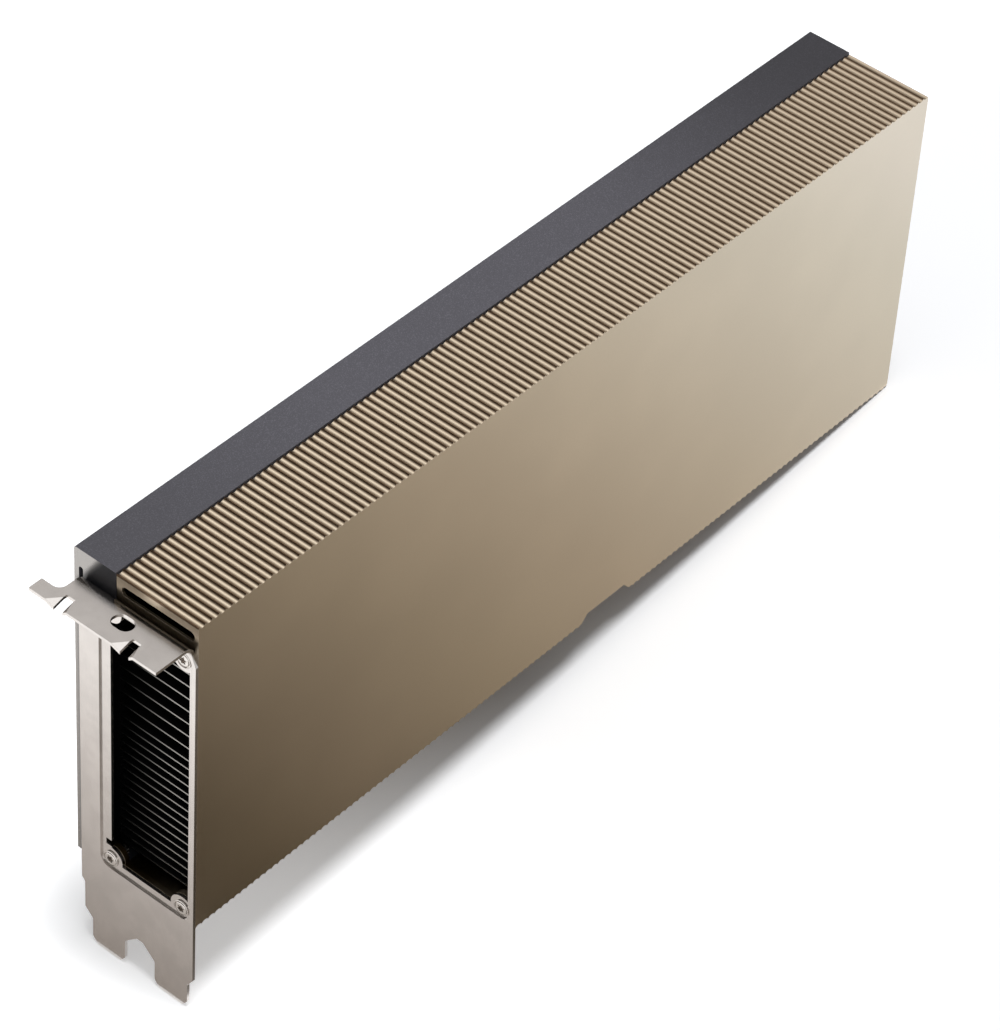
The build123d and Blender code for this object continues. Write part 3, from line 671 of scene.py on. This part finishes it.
class CARD_OT_electronics(bpy.types.Operator):
    """Gives the board, its contacts and all that stands on it their finish"""

    bl_idname = "card.electronics"
    bl_label = "Board and its parts"

    def execute(self, context):
        finish = context.scene.card_finish
        dress("circuit_board", material("solder_mask", solder_mask, finish))
        dress("edge_contacts", material("contact_gold", contact_gold, finish))
        silicon = material("polished_silicon", polished_silicon, linear("3a3d44"))
        dress("processor_dies", silicon)
        for name, (nodes, code, roughness, grain, depth) in MOULDED_FINISHES.items():
            made = material(name, moulded, linear(code), roughness, grain * MM, depth * MM)
            for node in nodes:
                dress(node, made)
        tin = material("pin_tin", bright_metal, linear("dddcd8"), 0.25, MARKS_ALONG_X, 0.002 * MM)
        dress("power_pins", tin)
        sleeve = material("can_aluminium", bright_metal, linear("d8d8dc"), 0.28, MARKS_ALONG_Y,
                          0.003 * MM)
        dress("can_capacitors", sleeve)
        return {"FINISHED"}


# Studio

# Where the camera stands, the directions of its picture, and its lens in millimetres
CAMERA_PLACE = (-0.53044, -0.513955, 0.80278)
CAMERA_RIGHT = (0.65112, -0.75716, 0.05243)
CAMERA_DOWN = (-0.48896, -0.47131, -0.73402)
CAMERA_FORWARD = (0.58048, 0.45230, -0.67710)
CAMERA_LENS, SENSOR_WIDTH = 161.63, 36.0
NEAREST, FURTHEST = 0.01, 20.0
LAMP_TOWARDS = (0.0, 0.12, -1.0)

# The card stands on its tongues and on the casing's far corner, so the floor rises along x.
FLOOR_SLOPE = (CASING_LOW.z - BRACKET_LOW.z) / CASING_HIGH.x
FLOOR_HALF = 4.0

# Painted light on the floor that lightens the card's shadow: where the floor's glow changes along
# x, left of the bracket and, along y, behind the card, and the shares of the glow that those last
# two places get
GLOW_ALONG, GLOW_LEFT, GLOW_BEHIND = (0.02, 0.13), (-0.025, 0.0), (0.025, 0.045)
LEFT_SHARE, BEHIND_SHARE = 1.2, 0.5

# The room that the reflector cards make round the card, and the reach of those on the floor
ROOM_LEFT, ROOM_RIGHT, ROOM_NEAR, ROOM_BACK, ROOM_TOP = -4.0, 1.5, -2.0, 3.0, 0.8
PANEL_FOOT, RIGHT_PANEL_NEAR = -0.1, -0.4
FLOOR_REACH, FRONT_REACH_LEFT, BACK_FLOOR_NEAR = 1.4, -0.5, 0.03
CARD_LIFT = 0.4 * MM
X, Z = 0, 2

# Grades of the reflector cards: places along the card's axis and the colour at each. The front
# one gives the long sheen of the casing's flat face.
FRONT_GRADE = [
    (-0.05, (0.35, 0.33, 0.31)), (0.0, (0.22, 0.20, 0.185)), (0.012, (0.11, 0.096, 0.082)),
    (0.022, (0.048, 0.038, 0.026)), (0.045, (0.075, 0.061, 0.043)), (0.083, (0.16, 0.137, 0.112)),
    (0.126, (0.255, 0.228, 0.19)), (0.172, (0.375, 0.342, 0.304)), (0.219, (0.50, 0.485, 0.46)),
    (0.263, (0.61, 0.625, 0.635)), (0.306, (0.70, 0.745, 0.785)), (0.345, (0.84, 0.90, 1.0))]
LEFT_GRADE = [
    (-0.10, (1.0, 0.995, 0.99)), (-0.085, (0.97, 0.96, 0.95)), (-0.05, (0.63, 0.60, 0.58)),
    (-0.02, (0.41, 0.384, 0.362)), (0.0, (0.29, 0.263, 0.241))]
CANOPY_GRADE = [
    (ROOM_LEFT, BLACK), (-1.2, (0.02, 0.016, 0.012)), (-0.6, (0.055, 0.048, 0.04)),
    (-0.35, (0.24, 0.23, 0.22)), (-0.15, (0.66, 0.655, 0.65)), (0.0, WHITE),
    (0.2, (0.96, 0.96, 0.965)), (0.4, (0.66, 0.65, 0.64)), (0.6, (0.31, 0.295, 0.285)),
    (0.9, (0.34, 0.33, 0.32)), (ROOM_RIGHT, (0.14, 0.13, 0.12))]
PANEL_GRADE = [(0.0, BLACK), (0.3, (0.03, 0.026, 0.022)), (ROOM_TOP, (0.17, 0.16, 0.15))]
BACK_GRADE = [(-1.0, BLACK), (ROOM_RIGHT, (0.02, 0.02, 0.02))]


def on_floor(x, y):
    """A point just above the floor."""
    return x, y, BRACKET_LOW.z + CARD_LIFT + x * FLOOR_SLOPE


def card_of_light(name, corners, axis, power, stops):
    """A reflector card that only reflections see, graded through its stops along an axis."""
    card = mesh_object(name, corners, [(0, 1, 2, 3)])
    made = bpy.data.materials.new(name)
    shader = Shader(made)
    first, last = stops[0][0], stops[-1][0]
    along = shader.node("ShaderNodeMapRange", None,
                        {"Value": shader.axes()[axis], "From Min": first, "From Max": last})
    ramp = [((place - first) / (last - first), shade) for place, shade in stops]
    grade = shader.node("ShaderNodeValToRGB", {"stops": ramp}, {0: along})
    glow = shader.node("ShaderNodeEmission", None, {"Color": grade, "Strength": power})
    shader.node("ShaderNodeOutputMaterial", None, {"Surface": glow})
    card.data.materials.append(made)
    for ray in ("camera", "diffuse", "transmission", "volume_scatter", "shadow"):
        setattr(card, "visible_" + ray, False)


class CARD_OT_studio(bpy.types.Operator):
    """Sets up the floor, the lamp, the sky, the reflector cards and the camera"""

    bl_idname = "card.studio"
    bl_label = "Studio"

    def execute(self, context):
        scene, look = context.scene, context.scene.card_studio
        scene.view_settings.view_transform = "Standard"
        self.add_camera(scene)
        self.add_floor(look)
        self.add_sky(scene, look)
        self.add_lamp(scene, look)
        self.add_cards()
        return {"FINISHED"}

    def add_camera(self, scene):
        data = bpy.data.cameras.new("photo_camera")
        data.lens, data.sensor_width = CAMERA_LENS, SENSOR_WIDTH
        data.clip_start, data.clip_end = NEAREST, FURTHEST
        camera = bpy.data.objects.new("photo_camera", data)
        up, back = [-c for c in CAMERA_DOWN], [-c for c in CAMERA_FORWARD]
        axes = Matrix((CAMERA_RIGHT, up, back)).transposed()
        camera.matrix_world = Matrix.Translation(CAMERA_PLACE) @ axes.to_4x4()
        scene.collection.objects.link(camera)
        scene.camera = camera

    def add_floor(self, look):
        foot = Vector((0.0, 0.0, BRACKET_LOW.z))
        tilt = Matrix.Rotation(-atan(FLOOR_SLOPE), 3, "Y")
        corners = [foot + tilt @ Vector((x * FLOOR_HALF, y * FLOOR_HALF, 0.0))
                   for x, y in ((-1, -1), (1, -1), (1, 1), (-1, 1))]
        floor = mesh_object("studio_floor", corners, [(0, 1, 2, 3)])
        made = bpy.data.materials.new("floor_paint")
        shader = Shader(made)
        x, y, _ = shader.axes()
        # Painted light: the floor glows more near the bracket, left of it and behind the card,
        # lightening the card's shadow there.
        glow = (shader.between(x, *GLOW_ALONG, look.floor_glow, look.floor_glow_far)
                + shader.between(x, *GLOW_LEFT, look.floor_glow * LEFT_SHARE, 0.0)
                + shader.between(y, *GLOW_BEHIND, 0.0, look.floor_glow * BEHIND_SHARE))
        white = shader.mix(shader.seen() * glow, BLACK, WHITE)
        light = shader.node("ShaderNodeEmission", None, {"Color": white, "Strength": 1.0})
        matt = shader.node("ShaderNodeBsdfDiffuse", None, {"Color": (*look.floor, 1.0)})
        both = shader.node("ShaderNodeAddShader", None, {0: matt, 1: light})
        shader.node("ShaderNodeOutputMaterial", None, {"Surface": both})
        floor.data.materials.append(made)

    def add_sky(self, scene, look):
        scene.world = bpy.data.worlds.new("studio_sky")
        shader = Shader(scene.world)
        strength = shader.seen() * (1.0 - look.sky_power) + look.sky_power
        sky = shader.node("ShaderNodeBackground", None,
                          {"Color": (*WHITE, 1.0), "Strength": strength})
        shader.node("ShaderNodeOutputWorld", None, {"Surface": sky})

    def add_lamp(self, scene, look):
        data = bpy.data.lights.new("overhead_lamp", "SUN")
        data.energy, data.angle = look.sun_power, look.sun_angle
        lamp = bpy.data.objects.new("overhead_lamp", data)
        lamp.rotation_mode = "QUATERNION"
        lamp.rotation_quaternion = Vector(LAMP_TOWARDS).to_track_quat("-Z", "Y")
        lamp.visible_glossy = False
        scene.collection.objects.link(lamp)

    def add_cards(self):
        front = CASING_LOW.y - 0.5 * MM
        left, right, near, back, top = ROOM_LEFT, ROOM_RIGHT, ROOM_NEAR, ROOM_BACK, ROOM_TOP
        card_of_light("front_reflector", [
            on_floor(FRONT_REACH_LEFT, front), on_floor(FRONT_REACH_LEFT, -FLOOR_REACH),
            on_floor(FLOOR_REACH, -FLOOR_REACH), on_floor(FLOOR_REACH, front),
        ], axis=X, power=1.15, stops=FRONT_GRADE)
        card_of_light("left_reflector", [
            on_floor(-FLOOR_REACH, FLOOR_REACH), on_floor(-FLOOR_REACH, front),
            on_floor(-CARD_LIFT, front), on_floor(-CARD_LIFT, FLOOR_REACH),
        ], axis=X, power=1.3, stops=LEFT_GRADE)
        card_of_light("canopy", [
            (left, near, top), (right, near, top), (right, back, top), (left, back, top),
        ], axis=X, power=1.35, stops=CANOPY_GRADE)
        card_of_light("right_panel", [
            (right, RIGHT_PANEL_NEAR, PANEL_FOOT), (right, RIGHT_PANEL_NEAR, top),
            (right, back, top), (right, back, PANEL_FOOT),
        ], axis=Z, power=1.0, stops=PANEL_GRADE)
        card_of_light("back_panel", [
            (left, back, PANEL_FOOT), (right, back, PANEL_FOOT),
            (right, back, top), (left, back, top),
        ], axis=Z, power=1.0, stops=PANEL_GRADE)
        card_of_light("back_floor", [
            on_floor(0.0, BACK_FLOOR_NEAR), on_floor(right, BACK_FLOOR_NEAR),
            on_floor(right, back), on_floor(0.0, back),
        ], axis=X, power=1.0, stops=BACK_GRADE)


class CARD_PT_panel(bpy.types.Panel):
    """Lists what builds the card's looks"""

    bl_idname = "CARD_PT_panel"
    bl_label = "Accelerator card"
    bl_space_type = "VIEW_3D"
    bl_region_type = "UI"
    bl_category = "Accelerator card"

    def draw(self, context):
        for step in STEPS:
            self.layout.operator(step.bl_idname)
        for group in GROUPS:
            box = self.layout.box()
            settings = getattr(context.scene, group)
            for name in settings.__annotations__:
                box.prop(settings, name)


STEPS = (CARD_OT_studio, CARD_OT_casing, CARD_OT_bracket, CARD_OT_screws, CARD_OT_cooling,
         CARD_OT_electronics)
GROUPS = {"card_finish": CardFinish, "card_screws": ScrewSizes, "card_studio": StudioLook}


def register():
    """Makes the settings, the operators and the panel known to Blender."""
    for kind in (*GROUPS.values(), *STEPS, CARD_PT_panel):
        bpy.utils.register_class(kind)
    for name, group in GROUPS.items():
        setattr(bpy.types.Scene, name, bpy.props.PointerProperty(type=group))


def unregister():
    """Takes back what register made known."""
    for name in GROUPS:
        delattr(bpy.types.Scene, name)
    for kind in reversed((*GROUPS.values(), *STEPS, CARD_PT_panel)):
        bpy.utils.unregister_class(kind)


def main():
    """Builds the whole scene."""
    register()
    for step in STEPS:
        group, name = step.bl_idname.split(".")
        getattr(getattr(bpy.ops, group), name)()


if __name__ == "__main__":
    main()
